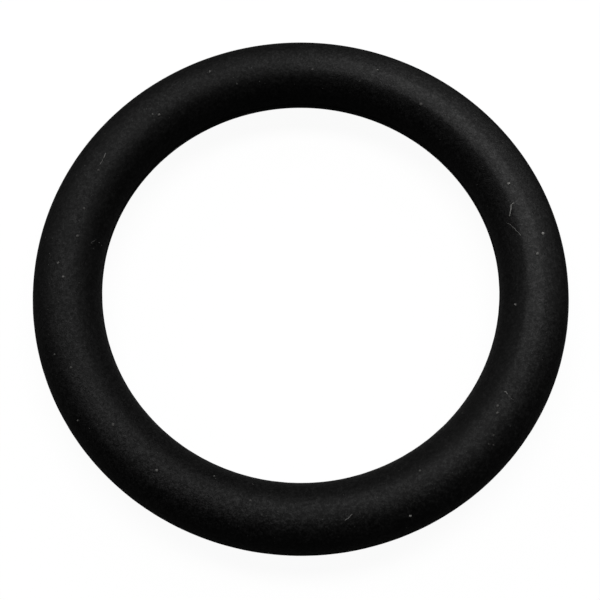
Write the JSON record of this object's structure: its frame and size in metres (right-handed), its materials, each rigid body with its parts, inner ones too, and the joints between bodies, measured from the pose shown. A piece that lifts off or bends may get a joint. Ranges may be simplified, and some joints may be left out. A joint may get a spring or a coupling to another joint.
{
  "type": "rubber o-ring",
  "caption": "Round rubber sealing ring with a thick circular section and a low trimmed mould line round its inside and outside.",
  "frame": {"origin": "centre of the ring, on the plane of the mould line halfway up the section", "axes": "+Z along the ring's own axis; the ring lies flat, and X and Y lie in its plane"},
  "size_m": [0.042, 0.042, 0.0054],
  "materials": {
    "rubber": "matt black, fine-grained"
  },
  "bodies": {
    "root": {"o_ring": "rubber"}
  },
  "joints": []
}
